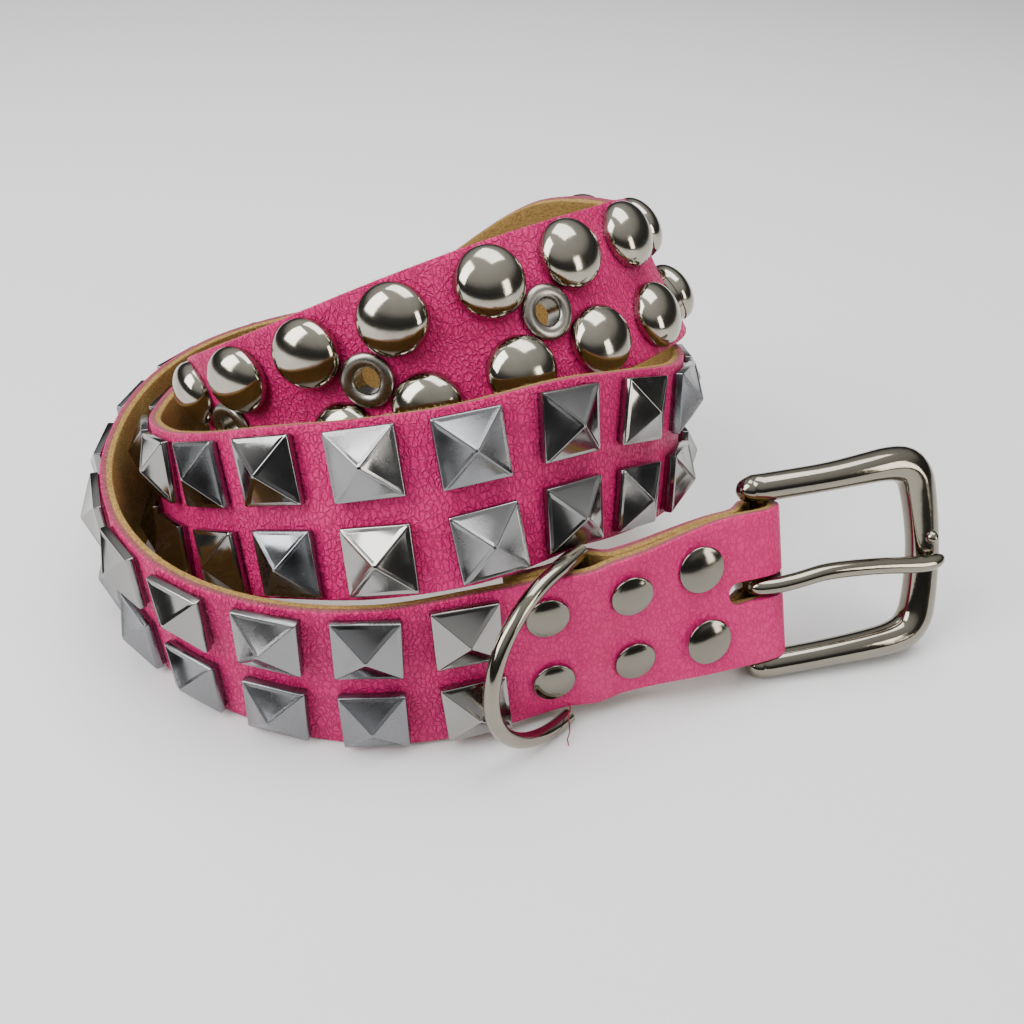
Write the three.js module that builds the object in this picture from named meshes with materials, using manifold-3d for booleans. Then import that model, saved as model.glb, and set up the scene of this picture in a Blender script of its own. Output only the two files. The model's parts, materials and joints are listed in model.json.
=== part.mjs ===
// A studded leather belt lying coiled on its edge, two and a half turns one inside the other.
// The strap is one leather ribbon: it folds round the heel bar of the buckle, runs round the coil
// from its outer turn to its inner one, and climbs as it goes. Two rows of square pyramid studs
// change to domes near the tip, where five eyelets stand on the centre line.
// Millimetres, +Z up, the surface it lies on at Z = 0, the viewer on the -Y side.

import * as THREE from 'three';
import { mergeVertices } from 'three/addons/utils/BufferGeometryUtils.js';
import Module from 'manifold-3d';

// Leather
const STRAP_WIDTH = 40;
const STRAP_THICKNESS = 3;
const STRAP_LENGTH = 1203;
const TIP_LENGTH = 24;
const FOLD_BACK_LENGTH = 68;
const FOLD_RETURN = 11;
const STATION_STEP = 9;

// Coil
const COIL_RADIUS = 82;
const NEST_GAP = 0.6;

// Studs: square pyramids in columns of two from the buckle on, then domes up to the tip
const STUD_PITCH = 22.9;
const STUD_ROW_SPACING = 21.4;
const STUD_SIZE = 15.6;
const STUD_WALL = 2.4;
const STUD_HEIGHT = 6.5;
const STUD_SEAT = 2.1;
const FIRST_STUD = 79.4;
const TIP_MARGIN = 34;
const DOME_COLUMNS = 15;
const DOME_DIAMETER = 17.2;
const DOME_RIM = 1.2;

// Eyelets, on the centre line midway between columns of domes
const EYELET_COUNT = 5;
const EYELET_EVERY = 2;
const EYELETS_FROM_LAST = 1.5;
const EYELET_HOLE = 6.4;
const EYELET_WALL = 0.8;
const EYELET_SEAT = 0.5;
const EYELET_FLANGE = 13.4;
const EYELET_BACK_FLANGE = 10.5;
const EYELET_ROLL = 1.3;
const EYELET_BACK_ROLL = 0.8;
const EYELET_BACK_SEAT = 0.7;

// Rivets through both layers of the fold
const RIVET_ROW_SPACING = 20;
const RIVET_CAP_HEIGHT = 1.5;
const RIVET_SHAFT = 4;
const RIVET_BACK_CAP = 8;
const RIVET_PAIRS = [
  { from_bar: 60, cap: 10.6 },
  { from_bar: 39.2, cap: 10.6 },
  { from_bar: 20.2, cap: 12 },
];

// Buckle: a frame with a heel bar, and a prong
const HEEL_BAR = 5;
const FRAME_SIDE_GAP = 0.5;
const FRAME_ARM = 7.3;
const FRAME_REACH = 48;
const FRAME_RISE = 11;
const FRAME_TAIL = 4.4;
const FRAME_BOW = 1.4;
const PRONG_WIRE = 4.2;
const PRONG_SWAY = 1.2;
const SLOT_SIDE_GAP = 0.9;
const SLOT_LENGTH = 10;

// Ring on a straight bar held between the layers
const RING_WIRE = 3.8;
const RING_REACH = 34;
const RING_ANGLE = 34;
const RING_SIDE_GAP = 0.5;
const RING_BULGE = 1.3;
const RING_POCKET = 8;
const RING_STRAIGHT = 9;

// Clearance between pieces that touch or turn on each other
const CLEARANCE = 0.3;

const ROUND_SIDES = 12;
const DOME_SIDES = 10;
const WIRE_SIDES = 8;

// Path of the outer face at the middle of the strap's width, from the heel bar to the tip.
// turn: degrees round the coil, 0 at the front, 90 at the left, 180 at the back
// reach: distance from the coil's axis before nesting, as a share of COIL_RADIUS
// nest: turns that lie outside this one
// lift: height of the middle, as a share of STRAP_WIDTH
// lean: degrees that the top edge leans outwards
const COIL_PATH = [
  { turn: -62, reach: 1.377, nest: 0, lift: 0.696, lean: -25 },
  { turn: -56, reach: 1.276, nest: 0, lift: 0.704, lean: -24 },
  { turn: -45, reach: 1.150, nest: 0, lift: 0.648, lean: -11 },
  { turn: -32, reach: 1.056, nest: 0, lift: 0.590, lean: -8 },
  { turn: -19, reach: 1.021, nest: 0, lift: 0.540, lean: -11 },
  { turn: -3, reach: 1.027, nest: 0, lift: 0.510, lean: -8 },
  { turn: 13, reach: 1.037, nest: 0, lift: 0.506, lean: -4 },
  { turn: 30, reach: 1.042, nest: 0, lift: 0.506, lean: -1 },
  { turn: 45, reach: 1.032, nest: 0, lift: 0.504, lean: -1 },
  { turn: 61, reach: 1.010, nest: 0, lift: 0.504, lean: -2 },
  { turn: 80, reach: 0.975, nest: 0, lift: 0.504, lean: -2 },
  { turn: 110, reach: 0.930, nest: 0, lift: 0.504, lean: 0 },
  { turn: 145, reach: 0.852, nest: 0, lift: 0.507, lean: 0 },
  { turn: 180, reach: 0.824, nest: 0, lift: 0.520, lean: 2 },
  { turn: 215, reach: 0.892, nest: 0.3, lift: 0.600, lean: 2 },
  { turn: 245, reach: 1.020, nest: 0.7, lift: 0.830, lean: 0 },
  { turn: 268, reach: 1.080, nest: 1, lift: 1.060, lean: -4 },
  { turn: 288, reach: 1.070, nest: 1, lift: 1.275, lean: -9 },
  { turn: 305, reach: 1.015, nest: 1, lift: 1.450, lean: -17 },
  { turn: 321, reach: 0.985, nest: 1, lift: 1.560, lean: -20 },
  { turn: 340, reach: 0.980, nest: 1, lift: 1.545, lean: -26 },
  { turn: 359, reach: 0.966, nest: 1, lift: 1.460, lean: -25 },
  { turn: 377, reach: 0.947, nest: 1, lift: 1.305, lean: -19 },
  { turn: 395, reach: 0.943, nest: 1, lift: 1.075, lean: -14 },
  { turn: 413, reach: 0.955, nest: 1, lift: 0.850, lean: -9 },
  { turn: 435, reach: 0.965, nest: 1, lift: 0.620, lean: -3 },
  { turn: 460, reach: 0.935, nest: 1, lift: 0.525, lean: 0 },
  { turn: 500, reach: 0.844, nest: 1, lift: 0.520, lean: 2 },
  { turn: 540, reach: 0.826, nest: 1.1, lift: 0.720, lean: 2 },
  { turn: 565, reach: 0.839, nest: 1.3, lift: 1.260, lean: 0 },
  { turn: 588, reach: 0.944, nest: 1.6, lift: 1.740, lean: -10 },
  { turn: 604, reach: 1.060, nest: 1.8, lift: 1.900, lean: -22 },
  { turn: 617, reach: 1.110, nest: 2, lift: 2.010, lean: -32 },
  { turn: 632, reach: 0.990, nest: 2, lift: 2.115, lean: -36 },
  { turn: 652, reach: 0.850, nest: 2, lift: 2.140, lean: -36 },
  { turn: 677, reach: 0.760, nest: 2, lift: 2.090, lean: -32 },
  { turn: 705, reach: 0.713, nest: 2, lift: 1.940, lean: -22 },
  { turn: 735, reach: 0.707, nest: 2, lift: 1.700, lean: -14 },
  { turn: 762, reach: 0.766, nest: 2, lift: 1.425, lean: -8 },
  { turn: 784, reach: 0.862, nest: 2, lift: 1.135, lean: 0 },
  { turn: 802, reach: 0.906, nest: 2, lift: 0.850, lean: 4 },
  { turn: 822, reach: 0.903, nest: 2, lift: 0.600, lean: 2 },
  { turn: 850, reach: 0.843, nest: 2, lift: 0.515, lean: 0 },
  { turn: 900, reach: 0.745, nest: 2, lift: 0.505, lean: 0 },
  { turn: 960, reach: 0.760, nest: 2, lift: 0.505, lean: 0 },
  { turn: 1020, reach: 0.850, nest: 2.4, lift: 0.505, lean: 0 },
];
const NEST_STEP = STRAP_THICKNESS + STUD_HEIGHT + NEST_GAP;

// Value of one column of the path at any turn, as a smooth curve through the rows
function columnAt(key, turn) {
  const last = COIL_PATH.length - 2;
  let i = 0;
  while (i < last && COIL_PATH[i + 1].turn < turn) i += 1;
  const a = COIL_PATH[i];
  const b = COIL_PATH[i + 1];
  const before = COIL_PATH[Math.max(i - 1, 0)];
  const after = COIL_PATH[Math.min(i + 2, COIL_PATH.length - 1)];
  const span = b.turn - a.turn;
  const slopeA = (b[key] - before[key]) / (b.turn - before.turn);
  const slopeB = (after[key] - a[key]) / (after.turn - a.turn);
  const x = (turn - a.turn) / span;
  if (x < 0) return a[key] + slopeA * (turn - a.turn);
  if (x > 1) return b[key] + slopeB * (turn - b.turn);
  const h = x * x * (3 - 2 * x);
  const rise = span * x * (1 - x) * ((1 - x) * slopeA - x * slopeB);
  return a[key] * (1 - h) + b[key] * h + rise;
}

function pathPoint(turn) {
  const radius = COIL_RADIUS * columnAt('reach', turn) - NEST_STEP * columnAt('nest', turn);
  const angle = THREE.MathUtils.degToRad(turn);
  const height = STRAP_WIDTH * columnAt('lift', turn);
  return new THREE.Vector3(-radius * Math.sin(angle), -radius * Math.cos(angle), height);
}

// Turn at each whole millimetre along the strap, measured from the heel bar
const turnAtMillimetre = [];
{
  const fine = 0.05;
  let turn = COIL_PATH[0].turn;
  let here = pathPoint(turn);
  let walked = 0;
  while (turnAtMillimetre.length < STRAP_LENGTH + 3) {
    const next = pathPoint(turn + fine);
    const step = next.distanceTo(here);
    while (turnAtMillimetre.length <= walked + step) {
      turnAtMillimetre.push(turn + fine * (turnAtMillimetre.length - walked) / step);
    }
    walked += step;
    turn += fine;
    here = next;
  }
}

function turnAt(s) {
  const i = THREE.MathUtils.clamp(Math.floor(s), 0, turnAtMillimetre.length - 2);
  return turnAtMillimetre[i] + (turnAtMillimetre[i + 1] - turnAtMillimetre[i]) * (s - i);
}

// Frame of the strap at s millimetres from the heel bar: X back towards the buckle, Y up across
// the width, Z out of the face. Before the bar it runs straight on.
function strapFrame(s) {
  const turn = turnAt(Math.max(s, 0));
  const along = pathPoint(turn + 0.5).sub(pathPoint(turn - 0.5)).normalize();
  const up = new THREE.Vector3(0, 0, 1);
  up.addScaledVector(along, -up.dot(along)).normalize();
  const out = new THREE.Vector3().crossVectors(up, along);
  const lean = THREE.MathUtils.degToRad(columnAt('lean', turn));
  const across = up.multiplyScalar(Math.cos(lean)).addScaledVector(out, Math.sin(lean));
  const face = new THREE.Vector3().crossVectors(across, along);
  const origin = pathPoint(turn).addScaledVector(along, Math.min(s, 0));
  return new THREE.Matrix4().makeBasis(along.negate(), across, face).setPosition(origin);
}

const wasm = await Module();
wasm.setup();

// Closed solid of a geometry: equal corners merged, collapsed triangles dropped
function solidOf(geometry) {
  const bare = geometry.index ? geometry.clone() : geometry;
  bare.deleteAttribute('normal');
  bare.deleteAttribute('uv');
  const merged = mergeVertices(bare, 1e-4);
  const corners = merged.index.array;
  const kept = [];
  for (let i = 0; i < corners.length; i += 3) {
    const [a, b, c] = [corners[i], corners[i + 1], corners[i + 2]];
    if (a !== b && b !== c && c !== a) kept.push(a, b, c);
  }
  const mesh = new wasm.Mesh({
    numProp: 3,
    vertProperties: merged.attributes.position.array,
    triVerts: new Uint32Array(kept),
  });
  return new wasm.Manifold(mesh);
}

function geometryOf(solid) {
  const mesh = solid.getMesh();
  const geometry = new THREE.BufferGeometry();
  geometry.setAttribute('position', new THREE.BufferAttribute(mesh.vertProperties, 3));
  geometry.setIndex(new THREE.BufferAttribute(mesh.triVerts, 1));
  return geometry;
}

// Body through rings of points that all run the same way round, closed by flat ends or on itself
function loft(rings, closed = false) {
  const sides = rings[0].length;
  const position = rings.flat().flatMap((point) => [point.x, point.y, point.z]);
  const index = [];
  const spans = closed ? rings.length : rings.length - 1;
  for (let i = 0; i < spans; i += 1) {
    const here = i * sides;
    const next = ((i + 1) % rings.length) * sides;
    for (let j = 0; j < sides; j += 1) {
      const k = (j + 1) % sides;
      index.push(here + j, here + k, next + k, here + j, next + k, next + j);
    }
  }
  if (!closed) {
    const last = (rings.length - 1) * sides;
    for (let j = 1; j < sides - 1; j += 1) {
      index.push(0, j + 1, j, last, last + j, last + j + 1);
    }
  }
  const geometry = new THREE.BufferGeometry();
  geometry.setAttribute('position', new THREE.Float32BufferAttribute(position, 3));
  geometry.setIndex(index);
  return geometry;
}

// Lathe turned about Z, from a profile of [radius, height] rows
function turned(profile, sides, firstAngle = 0) {
  const points = profile.map(([radius, height]) => new THREE.Vector2(radius, height));
  return new THREE.LatheGeometry(points, sides, firstAngle).rotateX(Math.PI / 2);
}

const foldRadius = STRAP_THICKNESS + 2 * CLEARANCE + HEEL_BAR / 2;
const ringPlace = (RIVET_PAIRS[0].from_bar + RIVET_PAIRS[1].from_bar) / 2;
const ringPocketDepth = RING_WIRE + 6 * CLEARANCE;

// Share of the pocket's full depth round the ring's bar
function pocketShare(s) {
  const x = Math.min(Math.abs(s - ringPlace) / RING_POCKET, 1);
  return (1 + Math.cos(Math.PI * x)) / 2;
}

// Space between the two layers of leather
function layerGap(s) {
  const x = THREE.MathUtils.clamp(s / FOLD_RETURN, 0, 1);
  const atBar = (1 + Math.cos(Math.PI * x)) / 2;
  const bar = (HEEL_BAR + 3 * CLEARANCE) * atBar;
  return CLEARANCE + bar + (ringPocketDepth - CLEARANCE) * pocketShare(s);
}

function halfWidthAt(s) {
  const toTip = Math.max(STRAP_LENGTH - s, 0);
  if (toTip >= TIP_LENGTH) return STRAP_WIDTH / 2;
  const x = 1 - toTip / TIP_LENGTH;
  return (STRAP_WIDTH / 2) * Math.sqrt(1 - 0.93 * x * x);
}

// Ring of four corners of the leather: outer and inner edge of its section, at a half width
function leatherRing(frameAt, outer, inner, half) {
  const corners = [[outer, -half], [outer, half], [inner, half], [inner, -half]];
  return corners.map(([point, y]) => new THREE.Vector3(point.x, y, point.y).applyMatrix4(frameAt));
}

function ribbonRings() {
  const rings = [];
  const half = STRAP_WIDTH / 2;
  const layer = (s, face) => {
    const inner = new THREE.Vector2(0, face - STRAP_THICKNESS);
    return [strapFrame(s), new THREE.Vector2(0, face), inner];
  };
  const backSteps = Math.round((3 * FOLD_BACK_LENGTH) / STATION_STEP);
  for (let i = 0; i < backSteps; i += 1) {
    const s = FOLD_BACK_LENGTH * (1 - i / backSteps);
    const face = RING_BULGE * pocketShare(s) - STRAP_THICKNESS - layerGap(s);
    const [at, near, far] = layer(s, face);
    rings.push(leatherRing(at, far, near, half));
  }
  const foldSteps = 8;
  for (let i = 0; i <= foldSteps; i += 1) {
    const angle = Math.PI * (1 - i / foldSteps);
    const spoke = new THREE.Vector2(Math.sin(angle), Math.cos(angle));
    const centre = new THREE.Vector2(0, -foldRadius);
    const outer = spoke.clone().multiplyScalar(foldRadius).add(centre);
    const inner = spoke.multiplyScalar(foldRadius - STRAP_THICKNESS).add(centre);
    rings.push(leatherRing(strapFrame(0), outer, inner, half));
  }
  const tabSteps = backSteps;
  for (let i = 1; i <= tabSteps; i += 1) {
    const s = (FOLD_BACK_LENGTH * i) / tabSteps;
    const [at, outer, inner] = layer(s, RING_BULGE * pocketShare(s));
    rings.push(leatherRing(at, outer, inner, half));
  }
  const runLength = STRAP_LENGTH - TIP_LENGTH - FOLD_BACK_LENGTH;
  const runSteps = Math.round(runLength / STATION_STEP);
  const tipSteps = 6;
  for (let i = 1; i <= runSteps + tipSteps; i += 1) {
    const inTip = Math.sin((Math.PI / 2) * Math.max(i - runSteps, 0) / tipSteps);
    const onRun = FOLD_BACK_LENGTH + (runLength * Math.min(i, runSteps)) / runSteps;
    const s = onRun + TIP_LENGTH * inTip;
    const [at, outer, inner] = layer(s, 0);
    rings.push(leatherRing(at, outer, inner, halfWidthAt(s)));
  }
  return rings;
}

// Domes are laid out back from the tip, pyramids from the buckle as far as the domes leave room
const lastDome = STRAP_LENGTH - TIP_MARGIN;
const firstDome = lastDome - STUD_PITCH * (DOME_COLUMNS - 1);
const pyramidColumns = Math.floor((firstDome - FIRST_STUD) / STUD_PITCH);

function pyramidStud() {
  const corner = STUD_SIZE / Math.SQRT2;
  const profile = [[0, -STUD_SEAT], [corner, -STUD_SEAT], [corner, STUD_WALL], [0, STUD_HEIGHT]];
  return turned(profile, 4, Math.PI / 4);
}

function domeStud() {
  const radius = DOME_DIAMETER / 2;
  const rise = STUD_HEIGHT - DOME_RIM;
  const profile = [[0, -STUD_SEAT], [radius, -STUD_SEAT], [radius, DOME_RIM]];
  for (const angle of [38, 68, 90]) {
    const a = THREE.MathUtils.degToRad(angle);
    profile.push([angle < 90 ? radius * Math.cos(a) : 0, DOME_RIM + rise * Math.sin(a)]);
  }
  return turned(profile, DOME_SIDES);
}

// Places of the eyelets: midway between columns of domes, counted back from the last column
const eyeletPlaces = [];
for (let i = EYELET_COUNT - 1; i >= 0; i -= 1) {
  eyeletPlaces.push(lastDome - STUD_PITCH * (EYELETS_FROM_LAST + EYELET_EVERY * i));
}

const rivetPlaces = RIVET_PAIRS.flatMap(({ from_bar, cap }) => [
  { from_bar, cap, across: RIVET_ROW_SPACING / 2 },
  { from_bar, cap, across: -RIVET_ROW_SPACING / 2 },
]);

const slotHeight = PRONG_WIRE + 2 * SLOT_SIDE_GAP;

// Slot for the prong: through both layers and the fold between them, round at its inner end
function prongSlot() {
  const outer = foldRadius + CLEARANCE;
  const depth = 2 * outer + 2;
  const box = new THREE.BoxGeometry(outer + SLOT_LENGTH, slotHeight, depth);
  box.translate((outer - SLOT_LENGTH) / 2, 0, -foldRadius);
  const end = new THREE.CylinderGeometry(slotHeight / 2, slotHeight / 2, depth, ROUND_SIDES);
  end.rotateX(Math.PI / 2).translate(-SLOT_LENGTH, 0, -foldRadius);
  return solidOf(box).add(solidOf(end)).transform(strapFrame(0).elements);
}

// Round hole from just in front of the face to a depth behind it
function roundHole(diameter, s, across, depth, sides) {
  const front = STRAP_THICKNESS;
  const length = depth + front;
  const hole = new THREE.CylinderGeometry(diameter / 2, diameter / 2, length, sides);
  hole.rotateX(Math.PI / 2).translate(0, across, front - length / 2);
  return solidOf(hole.applyMatrix4(strapFrame(s)));
}

function studdedStrap() {
  let leather = solidOf(loft(ribbonRings()));
  const holes = [prongSlot()];
  const eyeletTube = EYELET_HOLE + 2 * EYELET_WALL;
  for (const s of eyeletPlaces) {
    const hole = roundHole(eyeletTube + 2 * CLEARANCE, s, 0, 2 * STRAP_THICKNESS, ROUND_SIDES);
    holes.push(hole);
  }
  const rivetHole = RIVET_SHAFT + 4 * CLEARANCE;
  for (const { from_bar, across } of rivetPlaces) {
    holes.push(roundHole(rivetHole, from_bar, across, 2 * foldRadius, WIRE_SIDES));
  }
  for (const hole of holes) leather = leather.subtract(hole);
  const setColumn = (stud, s) => {
    for (const across of [STUD_ROW_SPACING / 2, -STUD_ROW_SPACING / 2]) {
      const at = strapFrame(s).multiply(new THREE.Matrix4().makeTranslation(0, across, 0));
      leather = leather.add(stud.transform(at.elements));
    }
  };
  const pyramid = solidOf(pyramidStud());
  for (let i = 0; i < pyramidColumns; i += 1) setColumn(pyramid, FIRST_STUD + STUD_PITCH * i);
  const dome = solidOf(domeStud());
  for (let i = 0; i < DOME_COLUMNS; i += 1) setColumn(dome, firstDome + STUD_PITCH * i);
  return geometryOf(leather);
}

// Rolled flange on the face, tube through the leather, thinner flange behind
function eyelet() {
  const hole = EYELET_HOLE / 2;
  const tube = hole + EYELET_WALL;
  const flange = EYELET_FLANGE / 2;
  const back = EYELET_BACK_FLANGE / 2;
  const seat = EYELET_SEAT;
  const backSeat = -STRAP_THICKNESS - EYELET_BACK_SEAT;
  return turned([
    [tube, seat],
    [flange, seat],
    [flange, seat + 0.5 * EYELET_ROLL],
    [flange - 0.6 * EYELET_ROLL, seat + EYELET_ROLL],
    [hole + 0.6 * EYELET_ROLL, seat + EYELET_ROLL],
    [hole, seat + 0.5 * EYELET_ROLL],
    [hole, backSeat - EYELET_BACK_ROLL],
    [back, backSeat - EYELET_BACK_ROLL],
    [back, backSeat],
    [tube, backSeat],
    [tube, seat],
  ], ROUND_SIDES);
}

// Heights of a layer over a circle on the strap, measured in the strap's frame at its middle
function heightsOver(s, across, radius, heightAt) {
  const toMiddle = strapFrame(s).invert();
  const heights = [heightAt(s)];
  for (let i = 0; i < WIRE_SIDES; i += 1) {
    const a = (2 * Math.PI * i) / WIRE_SIDES;
    const there = s + radius * Math.cos(a);
    const point = new THREE.Vector3(0, across + radius * Math.sin(a), heightAt(there));
    heights.push(point.applyMatrix4(strapFrame(there)).applyMatrix4(toMiddle).z);
  }
  return heights;
}

// Low cap on the face, shaft through both layers, flat cap behind
function rivet(s, across, capDiameter) {
  const shaft = RIVET_SHAFT / 2;
  const cap = capDiameter / 2;
  const back = RIVET_BACK_CAP / 2;
  const faceAt = (place) => RING_BULGE * pocketShare(place);
  const backAt = (place) => faceAt(place) - 2 * STRAP_THICKNESS - layerGap(place);
  const seat = Math.max(...heightsOver(s, across, cap, faceAt)) + CLEARANCE;
  const backSeat = Math.min(...heightsOver(s, across, back, backAt)) - CLEARANCE;
  return turned([
    [0, backSeat - RIVET_CAP_HEIGHT / 2],
    [back, backSeat - RIVET_CAP_HEIGHT / 2],
    [back, backSeat],
    [shaft, backSeat],
    [shaft, seat],
    [cap, seat],
    [cap, seat + 0.45 * RIVET_CAP_HEIGHT],
    [0.8 * cap, seat + 0.85 * RIVET_CAP_HEIGHT],
    [0, seat + RIVET_CAP_HEIGHT],
  ], ROUND_SIDES);
}

// Rings of an oval section along a list of stations, each with its middle, the direction of its
// first half size and the two half sizes; the second direction is square to both
function ovalRings(stations, closed = false) {
  const count = stations.length;
  return stations.map(({ middle, side, wide, thick }, i) => {
    const before = stations[closed ? (i + count - 1) % count : Math.max(i - 1, 0)].middle;
    const after = stations[closed ? (i + 1) % count : Math.min(i + 1, count - 1)].middle;
    const ahead = after.clone().sub(before).normalize();
    const first = side.clone().addScaledVector(ahead, -side.dot(ahead)).normalize();
    const second = new THREE.Vector3().crossVectors(ahead, first);
    const ring = [];
    for (let j = 0; j < WIRE_SIDES; j += 1) {
      const a = (2 * Math.PI * j) / WIRE_SIDES;
      const point = middle.clone().addScaledVector(first, wide * Math.cos(a));
      ring.push(point.addScaledVector(second, thick * Math.sin(a)));
    }
    return ring;
  });
}

// Half of the frame from its tail to the middle of the end bar
// forward: distance from the heel bar, as a share of FRAME_REACH
// across: distance from the middle line, as a share of the arm's own distance
// wide, thick: the section in the frame's plane and square to it, as shares of FRAME_ARM
const FRAME_SECTIONS = [
  { forward: -0.01, across: 1.00, wide: 1.00, thick: 0.96 },
  { forward: 0.20, across: 1.00, wide: 1.00, thick: 0.98 },
  { forward: 0.42, across: 1.00, wide: 1.02, thick: 1.02 },
  { forward: 0.62, across: 1.01, wide: 1.12, thick: 1.08 },
  { forward: 0.77, across: 1.01, wide: 1.22, thick: 1.12 },
  { forward: 0.88, across: 0.96, wide: 1.32, thick: 1.15 },
  { forward: 0.945, across: 0.82, wide: 1.32, thick: 1.15 },
  { forward: 0.972, across: 0.62, wide: 1.26, thick: 1.13 },
  { forward: 0.990, across: 0.34, wide: 1.21, thick: 1.11 },
];
const END_BAR = { forward: 1, across: 0, wide: 1.19, thick: 1.1 };
const armPlace = STRAP_WIDTH / 2 + FRAME_SIDE_GAP + FRAME_ARM / 2;

// Buckle frame about its heel bar: X away from the strap, Y along the bar, Z out of the face
function buckleFrame() {
  const out = new THREE.Vector3(0, 0, 1);
  const station = ({ forward, across, wide, thick }, sign) => ({
    middle: new THREE.Vector3(
      FRAME_REACH * forward,
      sign * armPlace * across,
      FRAME_BOW * Math.sin(Math.PI * THREE.MathUtils.clamp(forward, 0, 1)),
    ),
    side: out,
    wide: (FRAME_ARM * thick) / 2,
    thick: (FRAME_ARM * wide) / 2,
  });
  const tail = [1, 0.7, 0.35].map((x) => ({
    forward: (-FRAME_TAIL * x) / FRAME_REACH,
    across: 1,
    wide: Math.sqrt(1 - 0.9 * x * x),
    thick: Math.sqrt(1 - 0.9 * x * x),
  }));
  const half = [...tail, ...FRAME_SECTIONS];
  const stations = [
    ...half.map((row) => station(row, 1)),
    station(END_BAR, 1),
    ...half.map((row) => station(row, -1)).reverse(),
  ];
  const bar = new THREE.CylinderGeometry(HEEL_BAR / 2, HEEL_BAR / 2, 2 * armPlace, WIRE_SIDES);
  return geometryOf(solidOf(loft(ovalRings(stations))).add(solidOf(bar)));
}

// Shank of the prong, from its root over the heel bar to its tip on the end bar
// forward: distance from the heel bar, as a share of FRAME_REACH
// sway: bend along the heel bar, as a share of PRONG_SWAY
// bow: height over the straight line between its seats, as a share of PRONG_WIRE
// girth: its section, as a share of PRONG_WIRE
const PRONG_SECTIONS = [
  { forward: -0.08, sway: 0, bow: -0.53, girth: 0.72 },
  { forward: -0.05, sway: 0, bow: -0.25, girth: 0.95 },
  { forward: 0.05, sway: 0, bow: -0.02, girth: 1 },
  { forward: 0.16, sway: 0.4, bow: 0.12, girth: 1 },
  { forward: 0.34, sway: 0.9, bow: 0.12, girth: 1.04 },
  { forward: 0.61, sway: -0.2, bow: 0.05, girth: 1.04 },
  { forward: 0.87, sway: -1.9, bow: 0, girth: 1.04 },
  { forward: 0.97, sway: -2.1, bow: 0, girth: 0.96 },
  { forward: 1.025, sway: -1.7, bow: 0.06, girth: 0.55 },
];

// Prong: a loop round the heel bar and a shank that rests on the end bar
function prong() {
  const inner = HEEL_BAR / 2 + 1.3 * CLEARANCE;
  const outer = foldRadius;
  const half = PRONG_WIRE / 2;
  const loop = new THREE.LatheGeometry([
    new THREE.Vector2(inner, -half),
    new THREE.Vector2(outer, -half),
    new THREE.Vector2(outer, half),
    new THREE.Vector2(inner, half),
    new THREE.Vector2(inner, -half),
  ], ROUND_SIDES);
  const rest = (FRAME_ARM * END_BAR.thick) / 2 + CLEARANCE;
  const across = new THREE.Vector3(0, 1, 0);
  const stations = PRONG_SECTIONS.map(({ forward, sway, bow, girth }) => {
    const radius = (PRONG_WIRE * girth) / 2;
    const share = THREE.MathUtils.clamp(forward, 0, 1);
    const height = THREE.MathUtils.lerp(foldRadius, rest + radius, share) + PRONG_WIRE * bow;
    const middle = new THREE.Vector3(FRAME_REACH * forward, PRONG_SWAY * sway, height);
    return { middle, side: across, wide: radius, thick: radius };
  });
  return geometryOf(solidOf(loft(ovalRings(stations))).add(solidOf(loop)));
}

// Ring about its straight bar: X away from the bar, Y along it
function dRing() {
  const halfBar = (STRAP_WIDTH + RING_WIRE) / 2 + RING_SIDE_GAP;
  const out = new THREE.Vector3(0, 0, 1);
  const middles = [];
  const barSteps = 4;
  for (let i = 0; i <= barSteps; i += 1) {
    middles.push(new THREE.Vector3(0, -halfBar + (2 * halfBar * i) / barSteps, 0));
  }
  const bowSteps = 16;
  for (let i = 0; i <= bowSteps; i += 1) {
    const a = Math.PI / 2 - (Math.PI * i) / bowSteps;
    const x = RING_STRAIGHT + (RING_REACH - RING_STRAIGHT) * Math.cos(a);
    middles.push(new THREE.Vector3(x, halfBar * Math.sin(a), 0));
  }
  const half = RING_WIRE / 2;
  const stations = middles.map((middle) => ({ middle, side: out, wide: half, thick: half }));
  return loft(ovalRings(stations, true));
}

const material = (color, roughness, metalness) =>
  new THREE.MeshStandardMaterial({ color, roughness, metalness });
const pinkLeather = material(0xd8307c, 0.55, 0);
const polishedNickel = material(0xc4c1b8, 0.12, 1);
const satinNickel = material(0xa9a69c, 0.3, 1);

const group = new THREE.Group();

function place(name, geometry, finish, at = new THREE.Matrix4()) {
  const mesh = new THREE.Mesh(geometry, finish);
  mesh.name = name;
  mesh.applyMatrix4(at);
  group.add(mesh);
}

place('studded_strap', studdedStrap(), pinkLeather);
eyeletPlaces.forEach((s, i) => {
  place(`eyelet_${i + 1}`, geometryOf(solidOf(eyelet())), satinNickel, strapFrame(s));
});
rivetPlaces.forEach(({ from_bar, cap, across }, i) => {
  const at = strapFrame(from_bar).multiply(new THREE.Matrix4().makeTranslation(0, across, 0));
  place(`rivet_${i + 1}`, geometryOf(solidOf(rivet(from_bar, across, cap))), satinNickel, at);
});
const frameRise = new THREE.Matrix4().makeRotationY(-THREE.MathUtils.degToRad(FRAME_RISE));
const barFrame = strapFrame(0)
  .multiply(new THREE.Matrix4().makeTranslation(0, 0, -foldRadius))
  .multiply(frameRise);
place('buckle_frame', buckleFrame(), polishedNickel, barFrame);
place('prong', prong(), polishedNickel, barFrame);
const ringDepth = RING_BULGE - STRAP_THICKNESS - layerGap(ringPlace) / 2;
const ringFrame = strapFrame(ringPlace)
  .multiply(new THREE.Matrix4().makeTranslation(0, 0, ringDepth))
  .multiply(new THREE.Matrix4().makeRotationY(Math.PI + THREE.MathUtils.degToRad(RING_ANGLE)));
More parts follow.
